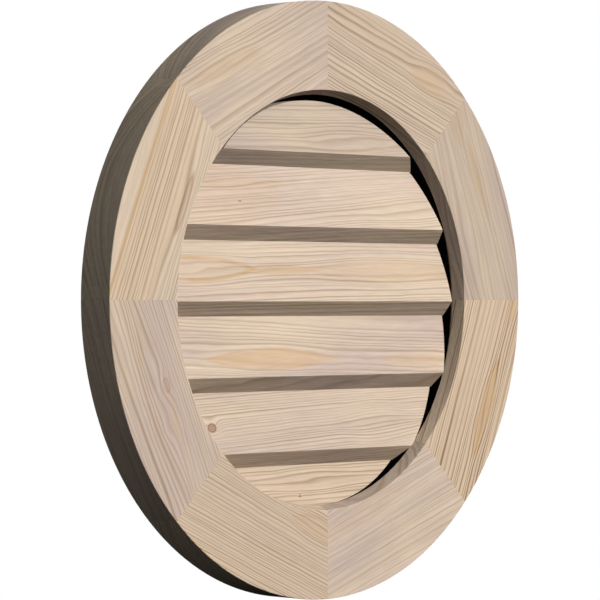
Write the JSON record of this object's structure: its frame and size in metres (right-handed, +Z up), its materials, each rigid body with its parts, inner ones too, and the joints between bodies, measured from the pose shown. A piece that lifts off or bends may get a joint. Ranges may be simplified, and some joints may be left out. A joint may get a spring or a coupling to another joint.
{
  "type": "round gable vent",
  "caption": "Round wooden gable vent: a mitred ring frame round sloped louvre slats, with a collar for the wall opening and an insect screen behind, letting attic air out and keeping rain out.",
  "frame": {"origin": "centre of the wall plane, where the collar's axis meets the back of the face frame", "axes": "+X right as seen from the front, +Y into the wall along the collar, +Z up"},
  "size_m": [0.584, 0.0615, 0.584],
  "materials": {
    "frame_pine": "planed, unfinished",
    "slat_pine": "planed, unfinished",
    "stringer_pine": "flat black paint",
    "biscuit_beech": "pressed",
    "collar_plywood": "flat black paint",
    "screen_mesh": "black coated fibreglass weave",
    "screw_steel": "zinc plated"
  },
  "bodies": {
    "root": {"frame_segment_1": "frame_pine", "frame_segment_2": "frame_pine", "frame_segment_3": "frame_pine", "frame_segment_4": "frame_pine", "frame_segment_5": "frame_pine", "frame_segment_6": "frame_pine", "frame_segment_7": "frame_pine", "frame_segment_8": "frame_pine", "mitre_biscuit_1": "biscuit_beech", "mitre_biscuit_2": "biscuit_beech", "mitre_biscuit_3": "biscuit_beech", "mitre_biscuit_4": "biscuit_beech", "mitre_biscuit_5": "biscuit_beech", "mitre_biscuit_6": "biscuit_beech", "mitre_biscuit_7": "biscuit_beech", "mitre_biscuit_8": "biscuit_beech", "collar_ring": "collar_plywood", "slat_1": "slat_pine", "slat_2": "slat_pine", "slat_3": "slat_pine", "slat_4": "slat_pine", "slat_5": "slat_pine", "slat_6": "slat_pine", "stringer_left": "stringer_pine", "stringer_right": "stringer_pine", "insect_screen": "screen_mesh", "collar_screws": "screw_steel", "slat_screws": "screw_steel", "stringer_screws": "screw_steel"}
  },
  "joints": []
}
